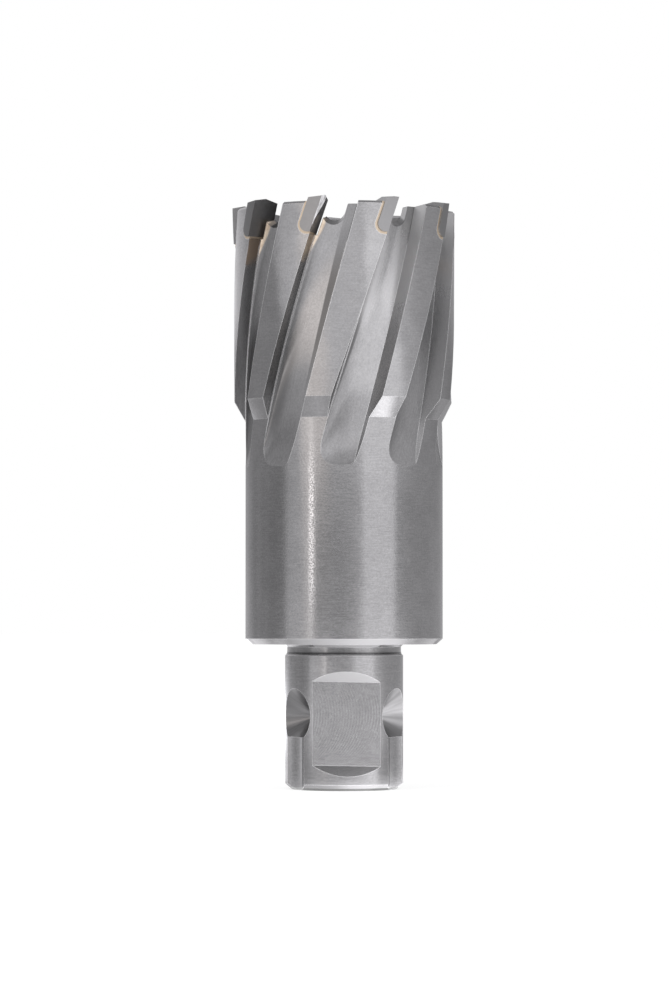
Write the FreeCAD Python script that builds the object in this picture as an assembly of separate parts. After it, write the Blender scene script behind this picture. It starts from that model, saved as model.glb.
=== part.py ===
import FreeCAD, Part
import math
import os

# Annular cutter with brazed carbide tips, standing on the end of its shank.
# Millimetres. The origin is the centre of the shank's end face and +Z points
# to the teeth. A bearing is the angle about Z, zero at the front (-Y) and
# growing towards the right (+X), which is anticlockwise seen from the teeth.
# The cut is right-handed: every rake face looks towards growing bearings.

# Shank
shank_diameter = 19.05
shank_length = 21.75
shank_end_chamfer_height = 0.95
shank_end_chamfer_depth = 1.05
shank_top_chamfer = 0.25
pilot_bore_diameter = 8.0
pilot_bore_chamfer = 0.5

# Neck between the shank and the body
neck_length = 1.55
neck_undercut = 0.35
neck_corner = 0.4

# Cutting diameter, and how far the head and the core stay clear of the tips
tip_cutting_diameter = 36.2
tip_radial_depth = 4.4
head_clearance = 0.23
head_back_taper = 0.13
core_clearance = 0.2

# Body, head and core
body_step_depth = 1.82
body_bevel_depth = 1.0
body_bevel_height = 0.9
body_length = 35.9
step_cone_height = 3.2
head_length = 30.8
head_edge_chamfer = 0.35
core_floor_thickness = 13.5
core_corner_chamfer = 1.4
top_face_fall = 0.4

# Teeth and the flutes between them
tooth_count = 9
first_rake_bearing = 29.0
rake_lead_rate = 1.127
heel_edge_bearing = 7.2
heel_edge_lead_rate = 0.885
heel_foot_bearing = 8.0
heel_foot_lead_rate = 1.032
web_thickness = 1.1
heel_foot_rise = 0.1
ledge_height = 0.95
ledge_width = 0.12
rake_wall_lean = 7.0
gullet_width = 4.0
gullet_fillet_drop = 0.45
gullet_tail = 1.6
gullet_facets = 6
gullet_facet_growth = 1.5
run_out_height = 35.3
run_out_cutter_radius = 30.0
run_out_length = 9.0
flute_section_count = 13

# Round notch in the thin wall in front of each tip
notch_width = 3.6
notch_bottom_below_tip = 3.85
notch_slope = 33.0

# Carbide tips and their braze
tip_width = 2.15
tip_height = 5.9
tip_projection = 1.0
tip_back_corner_radius = 1.8
tip_slant = 19.5
tip_peak_inset = 2.0
tip_outer_fall = 0.3
tip_inner_fall = 0.55
tip_relief = 5.0
braze_gap = 0.36

# Clamping features on the shank
flat_distance = 7.83
flat_length = 13.35
flat_centre_height = 10.65
flat_ramp_angle = 46.0
flat_roll = 1.2
flat_bearings = (2.5, 122.5)
pocket_centre_height = 11.8
pocket_rim_radius = 4.45
pocket_cone_angle = 90.0
first_pocket_bearing = 62.5
pocket_count = 3
groove_radius = 4.5
groove_depth = 1.05

# How far cutting tools stand clear of the metal, and tip seats clear of the rake face
tool_reach = 3.0
seat_reach = 0.75

# Radii, heights and the tooth pitch that follow
shank_radius = shank_diameter / 2
tip_radius = tip_cutting_diameter / 2
head_radius = tip_radius - head_clearance
step_radius = head_radius - head_back_taper
body_radius = step_radius - body_step_depth
core_radius = tip_radius - tip_radial_depth + core_clearance
web_radius = core_radius + web_thickness
underside = shank_length + neck_length
step_bottom = underside + body_length
step_top = step_bottom + step_cone_height
head_top = step_top + head_length
tip_top = head_top + tip_projection
core_floor = underside + core_floor_thickness
tooth_pitch = 360.0 / tooth_count


def polar(radius, bearing, height=0.0):
    """Point at a radius and bearing about the axis."""
    angle = math.radians(bearing)
    return FreeCAD.Vector(radius * math.sin(angle), -radius * math.cos(angle), height)


def turned(shape, bearing):
    """Copy of a shape turned about the axis by a bearing."""
    copy = shape.copy()
    copy.rotate(FreeCAD.Vector(0, 0, 0), FreeCAD.Vector(0, 0, 1), bearing)
    return copy


def closed_face(points):
    return Part.Face(Part.makePolygon(points + points[:1]))


def blank():
    """Turned blank: shank, neck, body, step cone and head, bored from both ends."""
    axis_foot = FreeCAD.Vector(0, 0, 0)
    axis = FreeCAD.Vector(0, 0, 1)
    bore = pilot_bore_diameter / 2
    head_edge = head_radius - head_edge_chamfer
    neck = shank_radius - neck_undercut
    profile = [
        (bore + pilot_bore_chamfer, 0),
        (shank_radius - shank_end_chamfer_depth, 0),
        (shank_radius, shank_end_chamfer_height),
        (shank_radius, shank_length - shank_top_chamfer),
        (shank_radius - shank_top_chamfer, shank_length),
        (neck, shank_length + neck_corner),
        (neck, underside - neck_corner),
        (neck + neck_corner, underside),
        (body_radius - body_bevel_depth, underside),
        (body_radius, underside + body_bevel_height),
        (body_radius, step_bottom),
        (step_radius, step_top),
        (head_radius, head_top - head_edge_chamfer),
        (head_edge, head_top),
        (core_radius, head_top - top_face_fall),
        (core_radius, core_floor + core_corner_chamfer),
        (core_radius - core_corner_chamfer, core_floor),
        (bore + pilot_bore_chamfer, core_floor),
        (bore, core_floor - pilot_bore_chamfer),
        (bore, pilot_bore_chamfer),
    ]
    face = closed_face([FreeCAD.Vector(r, 0, z) for r, z in profile])
    return face.revolve(axis_foot, axis, 360)


def rake_bearing(height):
    """Bearing of the first tooth's rake wall, a right-hand helix."""
    return first_rake_bearing - rake_lead_rate * (tip_top - height)


def heel_bearings(height):
    """Bearings of the next tooth's heel wall, at its edge and at its foot."""
    drop = head_top - height
    edge = heel_edge_bearing - heel_edge_lead_rate * drop + tooth_pitch
    foot = heel_foot_bearing - heel_foot_lead_rate * drop + tooth_pitch
    return edge, foot


def flute_section(height):
    """Outline of the flute in front of the first tooth's rake wall at one height."""
    outer = tip_radius + tool_reach
    run = max(0.0, underside + run_out_height - height)
    floor = web_radius + run ** 2 / (2 * run_out_cutter_radius)
    rake = rake_bearing(height)
    out = polar(1, rake)
    across = polar(1, rake + 90)
    lean = math.tan(math.radians(rake_wall_lean))
    level = FreeCAD.Vector(0, 0, height)

    def from_rake(width, radius):
        return out * radius + across * width + level

    ledge_radius = floor + ledge_height
    ledge_offset = (head_radius - ledge_radius) * lean
    wall_top = from_rake(-tool_reach * lean, outer)
    ledge = from_rake(ledge_offset, ledge_radius)
    fillet_top = from_rake(ledge_offset + ledge_width, ledge_radius)
    fillet_pull = from_rake(ledge_offset + ledge_width, ledge_radius - gullet_fillet_drop)
    turn = gullet_width / floor
    middle = polar(floor, rake + math.degrees(turn), height)
    middle_pull = middle - polar(gullet_tail, rake + math.degrees(turn) + 90)
    curve = Part.BezierCurve()
    curve.setPoles([fillet_top, fillet_pull, middle_pull, middle])
    steps = [(i / gullet_facets) ** gullet_facet_growth for i in range(gullet_facets + 1)]
    gullet = Part.makePolygon([curve.value(step) for step in steps]).Edges

    edge_bearing, foot_bearing = heel_bearings(height)
    heel_foot = polar(floor + heel_foot_rise, foot_bearing, height)
    heel_edge = polar(head_radius, edge_bearing, height)
    heel_top = heel_edge + (heel_edge - heel_foot).normalize() * tool_reach
    edges = [
        Part.makeLine(wall_top, ledge),
        Part.makeLine(ledge, fillet_top),
        *gullet,
        Part.makeLine(middle, heel_foot),
        Part.makeLine(heel_foot, heel_top),
        Part.makeLine(heel_top, wall_top),
    ]
    return Part.Wire(edges)


def flute():
    """Solid that mills one flute, from above the teeth to its run-out in the body."""
    top = tip_top + tool_reach
    bottom = underside + run_out_height - run_out_length
    step = (top - bottom) / (flute_section_count - 1)
    sections = [flute_section(bottom + step * i) for i in range(flute_section_count)]
    return Part.makeLoft(sections, True, False)


def notch():
    """Inclined round-bottomed slot through the thin wall in front of the first tip."""
    radius = notch_width / 2
    wall_radius = (core_radius + web_radius) / 2
    height = tip_top - notch_bottom_below_tip + radius
    bearing = rake_bearing(height) + math.degrees(radius / wall_radius)
    half_length = 2 * tool_reach
    top = tip_height + tool_reach
    outline = [
        FreeCAD.Vector(radius, half_length, 0),
        FreeCAD.Vector(radius, half_length, top),
        FreeCAD.Vector(-radius, half_length, top),
        FreeCAD.Vector(-radius, half_length, 0),
    ]
    sides = Part.makePolygon(outline).Edges
    bottom = Part.Arc(outline[3], FreeCAD.Vector(0, half_length, -radius), outline[0]).toShape()
    slot = Part.Face(Part.Wire(sides + [bottom])).extrude(FreeCAD.Vector(0, -2 * half_length, 0))
    slot.rotate(FreeCAD.Vector(0, 0, 0), FreeCAD.Vector(0, 1, 0), tip_slant)
    slot.rotate(FreeCAD.Vector(0, 0, 0), FreeCAD.Vector(1, 0, 0), notch_slope)
    slot.translate(FreeCAD.Vector(0, -wall_radius, height))
    return turned(slot, bearing)


def slanted_block(back, bottom, front, corner, top, inner, outer):
    """Block whose outline leans with the helix, drawn on the face of the first tip.

    The outline's datum is the tip's cutting edge at half its height. Back, bottom
    and front are how far the block reaches past the tip on those sides.
    """
    middle = tip_top - tip_height / 2
    low = -tip_height / 2 - bottom
    lean = math.tan(math.radians(tip_slant))

    def place(across, height):
        return FreeCAD.Vector(across + height * lean, 0, height)

    left = -tip_width - back
    points = [
        place(front, low),
        place(front, top),
        place(left, top),
        place(left, low + corner),
        place(left + corner, low),
    ]
    corner_middle = place(left + corner * (1 - math.sqrt(0.5)), low + corner * (1 - math.sqrt(0.5)))
    edges = Part.makePolygon(points[:4]).Edges
    edges.append(Part.Arc(points[3], corner_middle, points[4]).toShape())
    edges.append(Part.makeLine(points[4], points[0]))
    block = Part.Face(Part.Wire(edges)).extrude(FreeCAD.Vector(0, inner - outer, 0))
    block.translate(FreeCAD.Vector(0, -inner, middle))
    return turned(block, rake_bearing(middle))


def carbide_tip():
    """First tooth's carbide tip, with its rake face on the tooth's rake wall.

    The cutting edge has a peak with a fall to either side, and the top face
    falls away behind it by the relief angle.
    """
    middle = tip_top - tip_height / 2
    inner = tip_radius - tip_radial_depth
    outer = tip_radius + tool_reach
    block = slanted_block(0, 0, 0, tip_back_corner_radius, tip_height, inner, outer)
    peak = tip_radius - tip_peak_inset
    outer_slope = tip_outer_fall / tip_peak_inset
    front = tip_height / 2 * math.tan(math.radians(tip_slant))
    profile = [
        (inner - tool_reach, tip_top - tip_height - tool_reach),
        (outer, tip_top - tip_height - tool_reach),
        (outer, tip_top - outer_slope * (outer - peak)),
        (peak, tip_top),
        (inner, tip_top - tip_inner_fall),
        (inner - tool_reach, tip_top - tip_inner_fall),
    ]
    face = closed_face([FreeCAD.Vector(front, -r, z) for r, z in profile])
    back = FreeCAD.Vector(-1, 0, -math.tan(math.radians(tip_relief)))
    crown = face.extrude(back * (tip_width + 2 * front + tool_reach))
    round_outside = Part.makeCylinder(tip_radius, tip_top + tool_reach)
    return block.common(turned(crown, rake_bearing(middle))).common(round_outside)


def tip_seat(front):
    """Pocket for the first tip and its braze, open towards the flute."""
    inner = core_radius - tool_reach
    outer = tip_radius + tool_reach
    corner = tip_back_corner_radius + braze_gap
    return slanted_block(braze_gap, braze_gap, front, corner, tip_height, inner, outer)


def clamping_flat(bearing):
    """Milled flat with ramped ends for a clamping screw."""
    reach = shank_radius + tool_reach
    rise = (reach - flat_distance) / math.tan(math.radians(flat_ramp_angle))
    half = flat_length / 2
    outline = [
        FreeCAD.Vector(-reach, -flat_distance, -half),
        FreeCAD.Vector(-reach, -flat_distance, half),
        FreeCAD.Vector(-reach, -reach, half + rise),
        FreeCAD.Vector(-reach, -reach, -half - rise),
    ]
    tool = closed_face(outline).extrude(FreeCAD.Vector(2 * reach, 0, 0))
    tool.rotate(FreeCAD.Vector(0, 0, 0), FreeCAD.Vector(0, 1, 0), flat_roll)
    tool.translate(FreeCAD.Vector(0, 0, flat_centre_height))
    return turned(tool, bearing)


def ball_pocket(bearing):
    """Conical pocket for a locking ball, with the groove that leads the ball in."""
    slope = math.tan(math.radians(pocket_cone_angle / 2))
    apex = shank_radius - pocket_rim_radius / slope
    reach = shank_radius + tool_reach - apex
    outwards = FreeCAD.Vector(0, -1, 0)
    place = FreeCAD.Vector(0, -apex, pocket_centre_height)
    cone = Part.makeCone(0, reach * slope, reach, place, outwards)
    groove_axis = shank_radius - groove_depth + groove_radius
    start = FreeCAD.Vector(0, -groove_axis, -tool_reach)
    groove = Part.makeCylinder(groove_radius, pocket_centre_height + tool_reach, start)
    return turned(cone.fuse(groove), bearing)


def around(shape):
    """A tool repeated once for each tooth."""
    return [turned(shape, tooth_pitch * k) for k in range(tooth_count)]


def shank_tools():
    flats = [clamping_flat(bearing) for bearing in flat_bearings]
    pockets = [ball_pocket(first_pocket_bearing + 360.0 / pocket_count * k) for k in range(pocket_count)]
    return flats + pockets


def export(shape, name):
    if shape.ShapeType != "Solid" and len(shape.Solids) == 1:
        shape = shape.Solids[0]
    if not shape.isValid() or len(shape.Solids) != 1:
        raise ValueError("%s is not one valid solid" % name)
    shape.exportStep("parts/%s.step" % name)


os.makedirs("parts", exist_ok=True)
fluted = blank().cut(shank_tools()).cut(around(flute())).cut(around(notch()))
tip = carbide_tip()
braze = fluted.common(tip_seat(0)).cut(tip)
cutter_body = fluted.cut(around(tip_seat(seat_reach)))
export(cutter_body, "cutter_body")
for k in range(tooth_count):
    export(turned(tip, tooth_pitch * k), "carbide_tip_%d" % (k + 1))
    export(turned(braze, tooth_pitch * k), "braze_seam_%d" % (k + 1))
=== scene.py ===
import math
from functools import reduce
from operator import add

import bpy
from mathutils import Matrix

# Annular cutter in a white studio. Metres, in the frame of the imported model:
# +Z points to the teeth and -Y to the camera. A bearing is the angle about Z,
# zero at the front and growing towards +X. Materials measure in millimetres and degrees.

MM = 0.001

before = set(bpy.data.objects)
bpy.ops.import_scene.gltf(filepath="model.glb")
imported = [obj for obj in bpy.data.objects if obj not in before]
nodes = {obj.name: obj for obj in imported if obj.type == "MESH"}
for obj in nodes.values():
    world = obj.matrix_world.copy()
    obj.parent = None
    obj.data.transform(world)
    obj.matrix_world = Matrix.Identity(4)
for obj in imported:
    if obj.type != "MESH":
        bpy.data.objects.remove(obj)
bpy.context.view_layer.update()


scene = bpy.context.scene


def bearing_vector(bearing):
    angle = math.radians(bearing)
    return (math.sin(angle), -math.cos(angle), 0.0)


# Node graphs: sockets that add, multiply and compare like numbers


class Value:
    """A socket of a node tree, with arithmetic that adds Math nodes."""

    def __init__(self, tree, socket):
        self.tree = tree
        self.socket = socket

    def op(self, operation, *others):
        node = self.tree.nodes.new("ShaderNodeMath")
        node.operation = operation
        plug(self.tree, node.inputs[0], self)
        for i, other in enumerate(others):
            plug(self.tree, node.inputs[i + 1], other)
        return Value(self.tree, node.outputs[0])

    def __add__(self, other):
        return self.op("ADD", other)

    def __sub__(self, other):
        return self.op("SUBTRACT", other)

    def __mul__(self, other):
        return self.op("MULTIPLY", other)

    def __truediv__(self, other):
        return self.op("DIVIDE", other)

    def __neg__(self):
        return self.op("MULTIPLY", -1.0)

    def __rsub__(self, other):
        return -self + other

    def rise(self, low, high, start=0.0, end=1.0):
        """Smooth step from start at low to end at high."""
        node = self.tree.nodes.new("ShaderNodeMapRange")
        node.interpolation_type = "SMOOTHSTEP"
        for socket, value in zip(node.inputs, (self, low, high, start, end)):
            plug(self.tree, socket, value)
        return Value(self.tree, node.outputs[0])

    def band(self, low, high, soft):
        """One between low and high, zero outside, with soft ends."""
        return self.rise(low - soft, low + soft) * self.rise(high + soft, high - soft)


def plug(tree, socket, value):
    if isinstance(value, Value):
        tree.links.new(value.socket, socket)
    else:
        socket.default_value = value


BEVEL_SAMPLES = 6
# cosines of the turn between the rounded and the true normal, off a corner and on it
CORNER_COSINES = (0.995, 0.93)


class Graph:
    """A material's node tree, with the places and directions that its finish needs."""

    def __init__(self, name):
        self.material = bpy.data.materials.new(name)
        self.material.use_nodes = True
        self.tree = self.material.node_tree
        self.shader = self.tree.nodes["Principled BSDF"]
        self.place = self.output("ShaderNodeTexCoord", "Object")
        self.normal = self.output("ShaderNodeNewGeometry", "Normal")
        self.x, self.y, self.z = (v / MM for v in self.split(self.place))
        self.nx, self.ny, self.nz = self.split(self.normal)
        self.radius = (self.x * self.x + self.y * self.y).op("SQRT")
        self.bearing = self.x.op("ARCTAN2", -self.y)
        self.degrees = self.bearing * math.degrees(1.0)
        # how far the surface faces away from the axis, and towards growing bearings
        self.facing_out = (self.nx * self.x + self.ny * self.y) / self.radius
        self.turned = (self.ny * self.x - self.nx * self.y) / self.radius

    def output(self, kind, name):
        node = self.tree.nodes.new(kind)
        return Value(self.tree, node.outputs[name])

    def split(self, vector):
        node = self.tree.nodes.new("ShaderNodeSeparateXYZ")
        plug(self.tree, node.inputs[0], vector)
        return [Value(self.tree, s) for s in node.outputs]

    def vector(self, x, y, z):
        node = self.tree.nodes.new("ShaderNodeCombineXYZ")
        for socket, value in zip(node.inputs, (x, y, z)):
            plug(self.tree, socket, value)
        return Value(self.tree, node.outputs[0])

    def cross(self, a, b):
        node = self.tree.nodes.new("ShaderNodeVectorMath")
        node.operation = "CROSS_PRODUCT"
        plug(self.tree, node.inputs[0], a)
        plug(self.tree, node.inputs[1], b)
        return Value(self.tree, node.outputs[0])

    def noise(self, vector, scale, detail=3.0, roughness=0.5):
        node = self.tree.nodes.new("ShaderNodeTexNoise")
        plug(self.tree, node.inputs["Vector"], vector)
        node.inputs["Scale"].default_value = scale
        node.inputs["Detail"].default_value = detail
        node.inputs["Roughness"].default_value = roughness
        return Value(self.tree, node.outputs[0])

    def mixed(self, kind, share, a, b):
        """b over a by share. The kind is the Mix node's data type, which sets its sockets."""
        first, result = {"FLOAT": (2, 0), "RGBA": (6, 2)}[kind]
        node = self.tree.nodes.new("ShaderNodeMix")
        node.data_type = kind
        for socket, value in zip((0, first, first + 1), (share, a, b)):
            plug(self.tree, node.inputs[socket], value)
        return Value(self.tree, node.outputs[result])

    def mix(self, share, a, b):
        """Colour or vector b over a by share."""
        return self.mixed("RGBA", share, a, b)

    def blend(self, share, a, b):
        """Number b over number a by share."""
        return self.mixed("FLOAT", share, a, b)

    def bump(self, height, strength, distance):
        node = self.tree.nodes.new("ShaderNodeBump")
        node.inputs["Strength"].default_value = strength
        node.inputs["Distance"].default_value = distance
        plug(self.tree, node.inputs["Height"], height)
        return Value(self.tree, node.outputs[0])

    def edge(self, radius):
        """One along the corners, falling to zero at the radius from them."""
        node = self.tree.nodes.new("ShaderNodeBevel")
        node.samples = BEVEL_SAMPLES
        node.inputs["Radius"].default_value = radius
        dot = self.tree.nodes.new("ShaderNodeVectorMath")
        dot.operation = "DOT_PRODUCT"
        plug(self.tree, dot.inputs[0], Value(self.tree, node.outputs[0]))
        plug(self.tree, dot.inputs[1], self.normal)
        return Value(self.tree, dot.outputs["Value"]).rise(*CORNER_COSINES)

    def finish(self, **inputs):
        for name, value in inputs.items():
            plug(self.tree, self.shader.inputs[name.replace("_", " ")], value)
        return self.material


def grey(level):
    return (level, level, level, 1.0)


def total(values):
    return reduce(add, values)


# Sizes of the cutter, in millimetres and degrees, as in the part's source

TOOTH_COUNT = 9
TOOTH_PITCH = 360.0 / TOOTH_COUNT
TIP_TOP = 94.2
TIP_HEIGHT = 5.9
TIP_BOTTOM = TIP_TOP - TIP_HEIGHT
TIP_RADIUS = 18.1
RAKE_BEARING = 29.0
RAKE_LEAD_RATE = 1.127
HEEL_FOOT_BEARING = 8.0
HEEL_FOOT_LEAD_RATE = 1.032
CORE_RADIUS = 13.9
BODY_RADIUS = 15.92
SHANK_RADIUS = 9.525
SHANK_TOP = 21.75
SHANK_CHAMFER = 0.95
FLAT_DISTANCE = 7.83
FLAT_BEARINGS = (2.5, 122.5)
POCKET_BEARINGS = (62.5, 182.5, 302.5)
POCKET_HEIGHT = 11.8

# Where regions begin: just inside the lands, below the flutes' ends, at the points of the pockets' cones

LAND_RADIUS = 17.6
FLUTE_FOOT = 51.0
POCKET_APEX = 5.085

# Arcs that the cutter left on the clamping flats

ARC_CENTRE_HEIGHT = 12.3
ARC_RADIUS = 9.5
ARC_PITCH = 0.45

# Braze that ran down: after how many teeth its length comes back

SMEAR_PERIOD = 4.4

# Scales of the noises, in cells for each metre

ARC_FADE = 220.0
PATCHES = 260.0
WANDER = 700.0
CARBIDE_HONING = 900.0
BRAZE_MOTTLE = 900.0
CARBIDE_MOTTLE = 1500.0
SPECKLE = 3200.0
GLITTER = 4000.0

# Finish of the steel: grey levels of its own tone and of painted light and shade, and the sizes and
# shares of its marks

STEEL_DARK = 0.37
STEEL_LIGHT = 0.5
# grain of the painted highlight down the body
BODY_HIGHLIGHT_DARK = 0.38
BODY_HIGHLIGHT_LIGHT = 0.84
# levels of the painted light and painted shade on walls, corners, slopes and the shank
PAINTED_LIGHT_WALL = 0.8
SHADED_WALL = 0.18
LIT_WALL = 0.85
DEEP_SHADE_WALL = 0.17
HEEL_FOOT_SHADE = 0.13
PAINTED_CORNER_SHADE = 0.12
PAINTED_CORNER_HIGHLIGHT = 0.95
TOP_SLOPE_HIGHLIGHT = 0.6
SHANK_BOTTOM_SHADE = 0.2
EDGE_WIDTH = 0.19
FINE_ROUGHNESS = 0.17
COARSE_ROUGHNESS = 0.21
DULL_ROUGHNESS = 0.6
GRAIN_ANISOTROPY = 0.7
BUMP_HEIGHT = 0.00002


def nearest_tooth(angle):
    """The tooth that an angle falls on, and the angle that is left over."""
    tooth = (angle / TOOTH_PITCH + 0.5).op("FLOOR")
    return tooth, angle - tooth * TOOTH_PITCH


class Steel(Graph):
    """The cutter body's node tree, with its regions and the marks that the tools left."""

    def __init__(self, name):
        super().__init__(name)
        rake_angle = self.past_helix(RAKE_BEARING, RAKE_LEAD_RATE)
        self.tooth, self.past_rake = nearest_tooth(rake_angle)

        turned_face = self.facing_out.rise(0.8, 0.95)
        self.outside = turned_face * self.radius.rise(BODY_RADIUS - 0.1, BODY_RADIUS - 0.04)
        land = turned_face * self.radius.rise(LAND_RADIUS - 0.1, LAND_RADIUS)
        self.milled = self.z.rise(FLUTE_FOOT - 0.5, FLUTE_FOOT) * (1.0 - self.outside) * (1.0 - land)
        self.fillet = self.facing_out.band(0.35, 0.92, 0.1) * self.turned.rise(0.1, 0.3) * self.milled
        self.heel = self.turned.rise(-0.5, -0.8) * self.milled
        self.rake = self.turned.rise(0.6, 0.8) * self.facing_out.rise(0.5, 0.3) * self.milled

        self.speckle = self.noise(self.place, SPECKLE, 2.0, 0.6)
        self.patches = self.noise(self.place, PATCHES, 3.0, 0.55)
        self.wander = self.noise(self.place, WANDER, 3.0, 0.6)
        along = self.bearing * self.radius
        rings = self.noise(self.vector(along * 0.5, self.radius, self.z * 6.0), 1.0, 2.0, 0.6)
        runs = self.noise(self.vector(rake_angle * 1.2, self.radius * 4.0, self.z * 0.8), 1.0, 2.0, 0.6)
        self.lines = self.blend(self.milled, rings, runs)

    def past_helix(self, bearing, rate):
        """Angle past a helix that has this bearing at the tips' top."""
        return self.degrees - bearing - (self.z - TIP_TOP) * rate

    def seen_from(self, bearing):
        """Depth along a bearing, place across it, and how far the surface faces it."""
        x, y, _ = bearing_vector(bearing)
        depth = self.x * x + self.y * y
        across = self.y * x - self.x * y
        facing = self.nx * x + self.ny * y
        return depth, across, facing


def flats(g):
    """Cutter arcs on the clamping flats, and masks of the flats' top and bottom slopes."""
    arcs, tops, bottoms = [], [], []
    for bearing in FLAT_BEARINGS:
        depth, across, facing = g.seen_from(bearing)
        here = depth.band(FLAT_DISTANCE - 0.04, FLAT_DISTANCE + 0.04, 0.01) * facing.rise(0.97, 0.99)
        rise = g.z - ARC_CENTRE_HEIGHT
        bow = (ARC_RADIUS ** 2 - rise * rise).op("MAXIMUM", 0.0).op("SQRT")
        wave = ((across - bow) * (2 * math.pi / ARC_PITCH) + g.patches * 3.0).op("SINE")
        arcs.append(wave * here)
        slope = facing.band(0.55, 0.85, 0.05) * depth.rise(FLAT_DISTANCE - 0.13, FLAT_DISTANCE - 0.03)
        tops.append(slope * g.nz.rise(-0.5, -0.6))
        bottoms.append(slope * g.nz.rise(0.5, 0.6) * g.z.rise(6.0, 5.0))
    fade = g.noise(g.place, ARC_FADE, 2.0, 0.5).rise(0.3, 0.6, 0.35, 1.0)
    return total(arcs) * fade, total(tops), total(bottoms)


def pockets(g):
    """Mask of the ball pockets, their painted reflection streaks to the bottom, and the way that all
    turned grain runs.
    """
    masks, streaks = [], []
    grain = g.vector(-g.y, g.x, 0.0)
    for bearing in POCKET_BEARINGS:
        depth, across, facing = g.seen_from(bearing)
        x, y, _ = bearing_vector(bearing)
        rise = g.z - POCKET_HEIGHT
        away = (across * across + rise * rise).op("SQRT")
        here = (depth - away).band(POCKET_APEX - 0.06, POCKET_APEX + 0.06, 0.02)
        here = here * facing.band(0.5, 0.85, 0.05)
        streak = g.noise(g.vector(rise / away * 3.0, across / away * 3.0, away * 0.15), 1.0, 2.0, 0.6)
        masks.append(here)
        streaks.append(streak * here)
        grain = g.mix(here, grain, g.vector(rise * y, rise * -x, across))
    return total(masks), total(streaks), grain


def pocket_reflections(g, streaks):
    """Painted reflection streaks in the pockets: lighter at the right of the shank and towards their
    top, darker at its left as painted shade.
    """
    share = streaks.rise(0.25, 0.75)
    bright = g.mix(share * g.z.rise(9.0, 13.0, 0.3, 1.0), grey(0.32), grey(0.5))
    dark = g.mix(share, grey(0.22), grey(0.31))
    return g.mix(g.x.rise(-2.0, 2.0), dark, bright)


def body_highlight(g):
    """A painted highlight down the body, in a wandering line."""
    line = (g.degrees + g.wander * 2.4).band(-19.4, -16.0, 1.2)
    return line * g.z.band(30.0, 53.0, 5.0) * g.outside


def glitter(g):
    """Fine light and dark grain of the painted highlight down the body."""
    return g.mix(g.noise(g.place, GLITTER, 2.0, 0.7).rise(0.42, 0.6), grey(BODY_HIGHLIGHT_DARK), grey(BODY_HIGHLIGHT_LIGHT))


def painted_light_walls(g):
    """Painted light on the rounded floors high at the right of the front, and on the heel walls."""
    floors = g.fillet * g.z.rise(72.0, 84.0) * g.degrees.rise(-5.0, 10.0)
    return floors * 0.5 + g.heel * g.degrees.rise(-30.0, 0.0, 0.35, 0.65)


def shaded_walls(g):
    """Flute floors low at the left and the middle of the front, and the heel wall far to the right."""
    left = g.degrees.rise(-14.0, -24.0) * g.z.band(56.0, 73.0, 4.0)
    left = left * g.turned.rise(0.05, 0.25, 0.35, 0.85) * g.turned.rise(0.8, 0.7)
    middle = g.degrees.band(-12.0, 3.0, 2.0) * g.z.band(56.0, 68.0, 3.0)
    right = g.degrees.rise(50.0, 56.0) * g.turned.rise(-0.1, -0.4) * g.z.rise(86.0, 73.0)
    return (left + middle * 0.22 + right * 0.45) * g.milled


def lit_walls(g):
    """The flutes that are brightest, high at the right of the front."""
    floor = g.degrees.band(8.0, 27.0, 3.0) * g.z.band(74.0, 91.0, 3.0) * g.turned.rise(0.1, 0.35)
    middle = g.degrees.band(24.0, 43.0, 3.0) * g.z.band(76.0, 90.0, 3.0) * g.turned.band(-0.3, 0.1, 0.05)
    return (floor + middle * 0.5) * g.milled


def deep_shade_walls(g):
    """Painted shade on the rounded floors low down and at the left of the front, and on the rake walls.
    """
    floors = g.fillet * g.z.rise(80.0, 68.0).op("MAXIMUM", g.degrees.rise(10.0, -5.0))
    left = g.degrees.rise(-30.0, -42.0) * g.z.rise(66.0, 76.0)
    return floors * 0.45 + g.rake * (left * 0.35 + 0.4)


def heel_foot_shade(g):
    """Painted shade: a dark strip where a heel wall meets the flute's floor, wider towards the tips."""
    _, past_foot = nearest_tooth(g.past_helix(HEEL_FOOT_BEARING, HEEL_FOOT_LEAD_RATE))
    start = g.z.rise(58.0, 93.0, 1.2, 5.0)
    full = g.z.rise(58.0, 93.0, 0.7, 4.0)
    strip = past_foot.rise(-start, -full) * past_foot.rise(2.0, 1.0)
    strip = strip * g.milled * g.radius.rise(LAND_RADIUS - 0.2, LAND_RADIUS - 1.2)
    strip = strip * g.turned.rise(0.3, 0.1) * g.facing_out.rise(0.6, 0.75)
    return strip * g.z.rise(60.0, 72.0) * g.degrees.rise(16.0, 4.0) * g.z.rise(92.0, 79.0, 0.2, 0.9)


def neck_line(g):
    """The shadowed corner between the neck and the shank."""
    height = g.z.band(SHANK_TOP - 0.05, SHANK_TOP + 0.25, 0.15)
    return height * g.radius.rise(SHANK_RADIUS + 0.175, SHANK_RADIUS + 0.075)


def shank_bottom_shade(g):
    """Painted shade on the end chamfer, more at the left, and on the lowest part of the shank."""
    chamfer = g.z.rise(SHANK_CHAMFER + 0.45, SHANK_CHAMFER + 0.35) * g.nz.rise(-0.3, -0.5)
    low = g.z.rise(9.0, 3.0) * g.radius.rise(SHANK_RADIUS - 0.125, SHANK_RADIUS - 0.025)
    return chamfer * g.x.rise(4.0, -3.0, 0.4, 0.7) + low * 0.35


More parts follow.
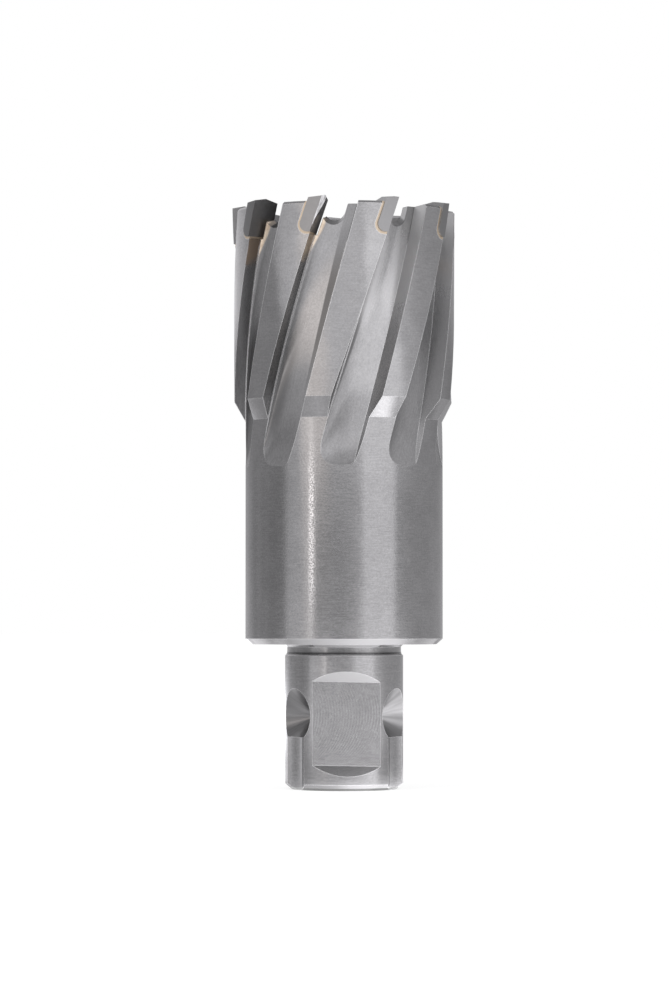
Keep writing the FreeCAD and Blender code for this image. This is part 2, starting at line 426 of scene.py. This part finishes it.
def smears(g):
    """Braze that ran down from the tips along the rake walls, more of it on some teeth."""
    share = 0.5 - ((g.tooth - 0.5) * (2 * math.pi / SMEAR_PERIOD)).op("COSINE") * 0.5
    width = g.z.rise(TIP_BOTTOM - 4.5, TIP_BOTTOM + 2.0, 0.5, 6.0) * (share * 0.9 + 0.1)
    smear = g.past_rake.rise(width + 0.8, width - 0.8) * g.past_rake.rise(-2.5, -1.5) * g.milled
    end = share.rise(0.2, 0.5, TIP_BOTTOM - 0.7, TIP_BOTTOM - 3.6)
    smear = smear * (g.z + g.wander * 2.0).rise(end - 0.5, end + 0.5)
    return smear * g.radius.rise(CORE_RADIUS + 0.1, CORE_RADIUS + 0.5)


def smear_tones(g):
    """Bright braze, darker brown on the rake walls, though less on the second tooth from the left."""
    bright = g.mix(g.wander.rise(0.3, 0.7), (0.7, 0.56, 0.42, 1.0), (0.95, 0.82, 0.66, 1.0))
    darker_on_walls = g.facing_out.rise(0.75, 0.35) * g.radius.rise(15.4, 16.0)
    darker_on_walls = darker_on_walls * (g.tooth + 1.0).op("ABSOLUTE").rise(0.4, 0.6, 0.25, 1.0)
    return g.mix(darker_on_walls, bright, (0.3, 0.235, 0.18, 1.0))


def notch_shade(g):
    """Painted shade in the bottoms of the round notches in front of the tips."""
    return g.nz.rise(0.4, 0.6) * g.z.band(85.0, 93.0, 0.3) * g.milled


def steel():
    """Bare tool steel: ground outside, milled flutes, flats with cutter arcs, turned pockets."""
    g = Steel("ground_steel")
    arcs, top_slopes, bottom_slopes = flats(g)
    pocket, streaks, grain = pockets(g)
    smear = smears(g)
    lit = lit_walls(g)

    # painted highlight on the corners, and painted shade on those round the notches between the teeth
    corner = g.edge(EDGE_WIDTH * MM)
    notch_edge_shade = corner * g.milled * g.z.rise(86.5, 87.5)
    edge = corner - notch_edge_shade

    marks = g.lines * 0.35 + g.speckle * 0.4 + g.patches * 0.25 + arcs * 0.06
    colour = g.mix(marks.rise(0.3, 0.7), grey(STEEL_DARK), grey(STEEL_LIGHT))
    # each layer is a share and the colour that it lays over what is below
    layers = [
        # painted highlight down the body
        (body_highlight(g) * 0.8, glitter(g)),
        # painted light and painted shade on the flutes' floors and walls, and a painted shade strip at
        # the heel feet
        (painted_light_walls(g), grey(PAINTED_LIGHT_WALL)),
        (shaded_walls(g), grey(SHADED_WALL)),
        (lit * 0.7, grey(LIT_WALL)),
        (deep_shade_walls(g), grey(DEEP_SHADE_WALL)),
        (heel_foot_shade(g), grey(HEEL_FOOT_SHADE)),
        # painted reflection streaks and painted shade in the pockets
        (pocket, pocket_reflections(g, streaks)),
        (neck_line(g), grey(PAINTED_CORNER_SHADE)),
        # painted highlight on the flats' top slopes; painted shade on their bottom slopes, the end
        # chamfer and the lowest part of the shank
        (top_slopes, grey(TOP_SLOPE_HIGHLIGHT)),
        (bottom_slopes * 0.5 + shank_bottom_shade(g), grey(SHANK_BOTTOM_SHADE)),
        (smear, smear_tones(g)),
        # painted shade in the notches and on the corners round them, painted highlight on the other
        # corners
        (notch_shade(g) * 0.75, grey(PAINTED_CORNER_SHADE)),
        (notch_edge_shade * 0.7, grey(PAINTED_CORNER_SHADE)),
        (edge * 0.85, grey(PAINTED_CORNER_HIGHLIGHT)),
    ]
    for share, tone in layers:
        colour = g.mix(share, colour, tone)

    # where the grain is blurred
    dull_heel = g.heel * g.degrees.rise(8.0, 20.0) * g.degrees.rise(62.0, 50.0, 0.4, 0.75)
    dull_heel = dull_heel * g.z.rise(70.0, 90.0)
    dull = smear * 0.5 + top_slopes + edge * 0.7 + dull_heel + lit * 0.5 + pocket * 0.35
    fine = g.blend(g.lines.rise(0.3, 0.7), FINE_ROUGHNESS, COARSE_ROUGHNESS)
    height = g.patches * 0.5 + arcs * 0.9 + g.speckle * (g.outside * 1.6 + 0.4)
    return g.finish(
        Base_Color=colour,
        Metallic=1.0,
        Roughness=g.blend(dull, fine, DULL_ROUGHNESS),
        Anisotropic=g.blend(dull, GRAIN_ANISOTROPY, 0.0),
        Tangent=g.cross(g.normal, grain),
        Normal=g.bump(height, 0.3, BUMP_HEIGHT),
    )


def carbide():
    """Ground carbide, with painted shade on the outer faces at the sides and a painted highlight on one
    honed corner.
    """
    g = Graph("ground_carbide")
    mottle = g.noise(g.place, CARBIDE_MOTTLE, 4.0, 0.6)
    colour = g.mix(mottle, grey(0.34), grey(0.44))
    # painted shade on the outer faces of the tips at the left and right
    shaded_sides = g.degrees.rise(-28.0, -36.0) * 0.55 + g.degrees.rise(50.0, 60.0) * 0.3
    colour = g.mix(shaded_sides * g.facing_out.rise(0.7, 0.9), colour, grey(0.14))

    # the honed corner of the second tip from the left, a real facet, wider towards its top, with a
    # painted highlight in its colour
    width = g.z.rise(TIP_BOTTOM + 1.1, TIP_TOP - 0.2, 0.3, 2.8)
    honed = g.radius.rise(TIP_RADIUS - 0.1 - width, TIP_RADIUS - width)
    honed = honed * g.degrees.band(-30.0, -4.0, 1.0)
    honed = honed * g.turned.rise(0.7, 0.8) * g.z.rise(TIP_BOTTOM + 0.7, TIP_BOTTOM + 1.3)
    # painted highlight on the honed corner
    bright = g.mix(g.noise(g.place, CARBIDE_HONING).rise(0.35, 0.6), grey(0.55), grey(0.95))
    halfway = math.sqrt(0.5)
    chamfer = g.vector((g.x - g.y) / g.radius * halfway, (g.x + g.y) / g.radius * halfway, 0.0)
    return g.finish(
        Base_Color=g.mix(honed, colour, bright),
        Metallic=1.0,
        Roughness=g.blend(mottle, 0.3, 0.45),
        Normal=g.mix(honed, g.bump(mottle, 0.2, 0.00003), chamfer),
    )


def braze():
    """Dull braze, mottled."""
    g = Graph("braze")
    mottle = g.noise(g.place, BRAZE_MOTTLE, 4.0, 0.6)
    return g.finish(
        Base_Color=g.mix(mottle, (0.66, 0.54, 0.41, 1.0), (0.92, 0.8, 0.64, 1.0)),
        Metallic=1.0,
        Roughness=g.blend(mottle, 0.4, 0.6),
        Normal=g.bump(mottle, 0.3, 0.00005),
    )


# True corners of the CAD meshes

WELD_DISTANCE = 0.001 * MM
CORNER_ANGLE = math.radians(28.5)
OUTSIDE_RADIUS = 15.9 * MM
OUTSIDE_ANGLE = math.radians(2.0)
COMPARE_INTEGER_B = 3


def crease_group():
    """Geometry nodes that join the faces' borders and keep their true corners sharp.

    A border is a corner where it turns by the corner angle, and on the turned outside
    wherever it turns at all, so that the shallow ends of the flutes keep their outline.
    """
    group = bpy.data.node_groups.new("true_corners", "GeometryNodeTree")
    group.interface.new_socket("Geometry", in_out="INPUT", socket_type="NodeSocketGeometry")
    group.interface.new_socket("Geometry", in_out="OUTPUT", socket_type="NodeSocketGeometry")
    link = group.links.new

    def node(kind, **settings):
        item = group.nodes.new(kind)
        for key, value in settings.items():
            setattr(item, key, value)
        return item

    def over(source, limit):
        item = node("FunctionNodeCompare", operation="GREATER_THAN")
        link(source, item.inputs["A"])
        item.inputs["B"].default_value = limit
        return item.outputs[0]

    def logic(operation, first, second):
        item = node("FunctionNodeBooleanMath", operation=operation)
        link(first, item.inputs[0])
        link(second, item.inputs[1])
        return item.outputs[0]

    start, end = node("NodeGroupInput"), node("NodeGroupOutput")
    forget = node("GeometryNodeRemoveAttribute")
    forget.inputs["Name"].default_value = "custom_normal"
    mark = node("GeometryNodeStoreNamedAttribute", data_type="BOOLEAN", domain="EDGE")
    mark.inputs["Name"].default_value = "border"
    neighbours = node("GeometryNodeInputMeshEdgeNeighbors")
    single = node("FunctionNodeCompare", data_type="INT", operation="EQUAL")
    link(neighbours.outputs["Face Count"], single.inputs["A"])
    single.inputs[COMPARE_INTEGER_B].default_value = 1
    link(single.outputs[0], mark.inputs["Value"])
    weld = node("GeometryNodeMergeByDistance")
    weld.inputs["Distance"].default_value = WELD_DISTANCE
    smooth = node("GeometryNodeSetShadeSmooth")
    sharp = node("GeometryNodeSetShadeSmooth", domain="EDGE")
    sharp.inputs["Shade Smooth"].default_value = False
    chain = [start, forget, mark, weld, smooth, sharp, end]
    for first, second in zip(chain, chain[1:]):
        link(first.outputs[0], second.inputs[0])

    border = node("GeometryNodeInputNamedAttribute", data_type="BOOLEAN")
    border.inputs["Name"].default_value = "border"
    angle = node("GeometryNodeInputMeshEdgeAngle").outputs["Unsigned Angle"]
    place = node("GeometryNodeInputPosition")
    flat = node("ShaderNodeVectorMath", operation="MULTIPLY")
    link(place.outputs[0], flat.inputs[0])
    flat.inputs[1].default_value = (1.0, 1.0, 0.0)
    radius = node("ShaderNodeVectorMath", operation="LENGTH")
    link(flat.outputs[0], radius.inputs[0])
    outside = logic("AND", over(radius.outputs["Value"], OUTSIDE_RADIUS), over(angle, OUTSIDE_ANGLE))
    corner = logic("OR", over(angle, CORNER_ANGLE), outside)
    link(logic("AND", border.outputs[0], corner), sharp.inputs["Selection"])
    return group


corners = crease_group()


def dress(name, material):
    """Finish for a node, over the true corners."""
    item = nodes[name]
    for slot in item.material_slots:
        slot.material = material
    item.modifiers.new("true_corners", "NODES").node_group = corners


finishes = {"cutter": steel(), "carbide": carbide(), "braze": braze()}
for name in nodes:
    dress(name, finishes[name.split("_")[0]])


# Camera

CAMERA_LENS = 131.5
CAMERA_PLACE = (-1.55 * MM, -590 * MM, 27.36 * MM)
CAMERA_TILT_UP = 1.865
CAMERA_CLIP = (0.01, 50.0)


def link_new(name, data):
    item = bpy.data.objects.new(name, data)
    scene.collection.objects.link(item)
    return item


camera_data = bpy.data.cameras.new("camera")
camera_data.lens = CAMERA_LENS
camera_data.clip_start, camera_data.clip_end = CAMERA_CLIP
camera = link_new("camera", camera_data)
camera.location = CAMERA_PLACE
camera.rotation_euler = (math.radians(90 + CAMERA_TILT_UP), 0.0, 0.0)
scene.camera = camera


# Studio

WHITE = (1.0, 1.0, 1.0, 1.0)
WORLD_LIGHT = 0.75
FLOOR_HALF = 6.0
FLOOR_TONE = 0.3
FLOOR_GLOW = 0.78


def seen_white(tree):
    """One for rays from the camera and for reflections, zero for the rays that light things."""
    path = tree.nodes.new("ShaderNodeLightPath")
    seen = Value(tree, path.outputs["Is Camera Ray"])
    for ray in ("Is Glossy Ray", "Is Transmission Ray"):
        seen = seen.op("MAXIMUM", Value(tree, path.outputs[ray]))
    return seen


world = bpy.data.worlds.new("studio")
world.use_nodes = True
scene.world = world
background = world.node_tree.nodes["Background"]
background.inputs["Color"].default_value = WHITE
world_strength = seen_white(world.node_tree) * (1.0 - WORLD_LIGHT) + WORLD_LIGHT
plug(world.node_tree, background.inputs["Strength"], world_strength)


def floor():
    """Pale floor: its own white glow for the camera, with the lit paper's shadow over it."""
    signs = [(-1, -1), (1, -1), (1, 1), (-1, 1)]
    mesh = bpy.data.meshes.new("floor")
    mesh.from_pydata([(x * FLOOR_HALF, y * FLOOR_HALF, 0) for x, y in signs], [], [(0, 1, 2, 3)])
    item = link_new("floor", mesh)
    g = Graph("floor_paper")
    mesh.materials.append(g.finish(Base_Color=grey(FLOOR_TONE), Roughness=1.0, Specular_IOR_Level=0.0))
    g.shader.inputs["Emission Color"].default_value = WHITE
    plug(g.tree, g.shader.inputs["Emission Strength"], seen_white(g.tree) * FLOOR_GLOW)


floor()


# Tent and table: what the metal reflects

TENT_RADIUS = 160 * MM
BRIGHTEST = 2.5
SHELL_STEPS = 120
CLOTH_GREEN = 0.978
CLOTH_WARMTH = -0.008


def round_shell(name, profile):
    """A turned shell about Z that only reflections see."""
    verts = []
    for i in range(SHELL_STEPS):
        x, y, _ = bearing_vector(i * 360.0 / SHELL_STEPS)
        verts += [(x * r, y * r, z) for r, z in profile]
    faces = []
    rows = len(profile)
    for i in range(SHELL_STEPS):
        a = i * rows
        b = ((i + 1) % SHELL_STEPS) * rows
        faces += [(a + k, b + k, b + k + 1, a + k + 1) for k in range(rows - 1)]
    mesh = bpy.data.meshes.new(name)
    mesh.from_pydata(verts, [], faces)
    item = link_new(name, mesh)
    item.visible_camera = False
    item.visible_diffuse = False
    item.visible_shadow = False
    item.visible_transmission = False
    return mesh


def cloth(g, stops):
    """Light round a shell. A stop is a bearing, a level and, if wanted, a warmth."""
    ramp = g.tree.nodes.new("ShaderNodeValToRGB")
    plug(g.tree, ramp.inputs[0], g.degrees / 360.0 + 0.5)
    elements = ramp.color_ramp.elements
    elements.remove(elements[-1])
    for i, stop in enumerate(stops):
        place = stop[0] / 360.0 + 0.5
        element = elements[0] if i == 0 else elements.new(place)
        element.position = place
    for element, stop in zip(elements, stops):
        level = stop[1] / BRIGHTEST
        warmth = stop[2] if len(stop) > 2 else CLOTH_WARMTH
        element.color = (level * (1 + warmth), level * CLOTH_GREEN, level * (1 - warmth), 1.0)
    return Value(g.tree, ramp.outputs[0])


def screen(name, profile, measure, rings):
    """A shell whose cloth goes from ring to ring by its height or its radius."""
    mesh = round_shell(name, profile)
    g = Graph(name + "_cloth")
    place = g.z if measure == "height" else g.radius
    colour = cloth(g, rings[0][2])
    for low, high, stops in rings[1:]:
        colour = g.mix(place.rise(low, high), colour, cloth(g, stops))
    glow = g.tree.nodes.new("ShaderNodeEmission")
    glow.inputs["Strength"].default_value = BRIGHTEST
    plug(g.tree, glow.inputs["Color"], colour)
    g.tree.links.new(glow.outputs[0], g.tree.nodes["Material Output"].inputs["Surface"])
    mesh.materials.append(g.material)


# Cloth of the tent, from the table up, set until the reflections matched the photo

AT_SHANK = [
    (-180, 2.5, -0.02), (-150, 1.8, -0.02), (-130, 1.05, -0.015), (-112, 0.7), (-88, 0.56),
    (-76, 0.85), (-66, 1.35), (-46, 1.2, 0.01), (-34, 1.5, 0.01), (-27, 1.65), (-10, 1.42),
    (8, 1.38), (22, 1.75), (48, 1.8), (62, 1.9), (70, 1.3), (84, 0.84), (112, 0.62), (150, 0.5),
    (180, 0.6),
]
AT_COLLAR = [
    (-180, 0.52), (-148, 0.52), (-130, 0.4), (-122, 0.33), (-114, 0.4), (-106, 0.33), (-98, 0.36),
    (-90, 0.31), (-72, 0.31), (-65, 0.6), (-47, 0.64), (-43, 0.75, 0.01), (-38.5, 1.0, 0.01),
    (-35.5, 1.0, 0.01), (-34, 0.55, 0.01), (-32, 0.4), (-10, 0.42), (0, 0.45), (8, 0.52),
    (16, 0.64), (21, 0.88), (24, 0.98), (56, 0.98), (61, 0.46), (110, 0.47), (140, 0.48),
    (180, 0.5),
]
AT_BODY = [
    (-180, 0.38), (-148, 0.45), (-130, 0.37), (-122, 0.3), (-114, 0.36), (-106, 0.29), (-98, 0.33),
    (-90, 0.27), (-72, 0.28), (-65, 0.56), (-47, 0.59), (-43, 0.68, 0.01), (-40, 0.8, 0.02),
    (-37.6, 1.8, 0.02), (-35, 1.8, 0.02), (-33.8, 0.55, 0.01), (-32, 0.36), (-10, 0.355),
    (0, 0.375), (8, 0.45), (16, 0.52), (19.5, 0.58), (22, 0.93), (56, 0.94), (61, 0.42),
    (110, 0.44), (140, 0.42), (180, 0.38),
]
AT_STEP = [
    (-180, 0.6), (-150, 0.22), (-130, 0.35), (-72, 0.38), (-64, 0.6), (-50, 0.7), (-44, 1.2, 0.04),
    (-24, 1.2, 0.04), (-12, 0.98), (18, 1.0), (23, 1.22), (56, 1.22), (62, 0.87, -0.01), (80, 0.6),
    (110, 0.47, -0.01), (140, 0.3), (180, 0.3),
]
AT_HEAD = [
    (-180, 1.1), (-150, 0.9), (-130, 0.7), (-110, 0.5), (-72, 0.4), (-66, 0.8), (-50, 0.95),
    (-43, 1.2, 0.04), (-20, 1.15, 0.04), (-10, 0.95), (19, 0.95), (22, 1.4), (56, 1.3),
    (62, 0.85, -0.01), (80, 0.58), (110, 0.5, -0.01), (140, 0.4), (180, 0.4),
]
ABOVE = [
    (-180, 0.8), (-130, 0.7), (-100, 0.5), (-70, 0.3), (-50, 0.4), (-30, 0.42), (-10, 0.5),
    (10, 0.65), (30, 0.5), (50, 0.5), (70, 0.65), (110, 0.35), (180, 0.4),
]
HIGH = [
    (-180, 0.8), (-130, 1.0), (-90, 0.6), (-65, 0.4), (-50, 0.3), (-10, 0.33), (20, 0.5), (50, 0.5),
    (70, 0.35), (110, 0.25), (150, 0.4), (180, 0.6),
]
CEILING = [(-180, 0.6), (0, 0.65), (180, 0.6)]
TENT_PROFILE = [
    (TENT_RADIUS, 0.8 * MM), (TENT_RADIUS, 200 * MM), (120 * MM, 250 * MM), (1 * MM, 270 * MM),
]
# each ring is the heights between which it takes over from the one below, and its cloth
TENT_RINGS = [
    (0, 0, AT_SHANK), (7, 18, AT_COLLAR), (30, 42, AT_BODY), (54, 64, AT_STEP), (78, 92, AT_HEAD),
    (110, 124, ABOVE), (150, 170, HIGH), (225, 245, CEILING),
]
screen("tent", TENT_PROFILE, "height", TENT_RINGS)

# Cloth of the table, from the cutter outwards

FLOOR_NEAR = [
    (-180, 0.8), (-110, 0.7), (-70, 0.7), (-45, 1.3), (-10, 1.8), (5, 2.4), (30, 2.4), (70, 2.0),
    (90, 1.3), (180, 0.9),
]
FLOOR_MIDDLE = [
    (-180, 1.1), (-90, 0.9), (-70, 0.5), (-50, 0.5), (-10, 0.6), (10, 0.75), (50, 1.1), (70, 1.4),
    (90, 1.15), (110, 1.1), (180, 1.1),
]
FLOOR_FAR = [
    (-180, 1.2), (-130, 1.15), (-110, 0.6), (-90, 0.4), (-70, 0.45), (-50, 0.7), (-30, 0.75),
    (-10, 0.68), (10, 0.8), (30, 1.1), (44, 2.3), (57, 2.3), (66, 0.55), (90, 0.4), (110, 0.7),
    (130, 0.9), (180, 1.1),
]
FLOOR_EDGE = [
    (-180, 1.1), (-130, 0.65), (-110, 0.5), (-90, 0.4), (-70, 0.4), (-50, 0.8), (-35, 0.55),
    (-10, 0.25), (0, 0.3), (12, 0.6), (30, 1.0), (50, 1.1), (66, 1.4), (80, 0.6), (90, 0.3),
    (110, 0.4), (130, 0.4), (180, 0.5),
]
TABLE_PROFILE = [(1 * MM, 0.4 * MM), (TENT_RADIUS, 0.4 * MM)]
TABLE_RINGS = [(0, 0, FLOOR_NEAR), (18, 22, FLOOR_MIDDLE), (26, 32, FLOOR_FAR), (70, 80, FLOOR_EDGE)]
screen("table", TABLE_PROFILE, "radius", TABLE_RINGS)


# Lamps

LAMP_TARGET_HEIGHT = 0.05


def lamp(name, size, bearing, height, distance, watts):
    """Rectangular lamp that looks at the middle of the cutter."""
    data = bpy.data.lights.new(name, "AREA")
    data.shape = "RECTANGLE"
    data.size, data.size_y = size
    data.energy = watts
    item = link_new(name, data)
    x, y, _ = bearing_vector(bearing)
    item.location = (x * distance, y * distance, height)
    direction = item.location.copy()
    direction.z -= LAMP_TARGET_HEIGHT
    item.rotation_euler = direction.to_track_quat("Z", "Y").to_euler()
    item.visible_camera = False


lamp("key", size=(0.5, 0.7), bearing=-40.0, height=0.9, distance=0.7, watts=3.0)
lamp("fill", size=(0.6, 0.8), bearing=45.0, height=0.9, distance=0.8, watts=2.0)

scene.view_settings.view_transform = "Standard"
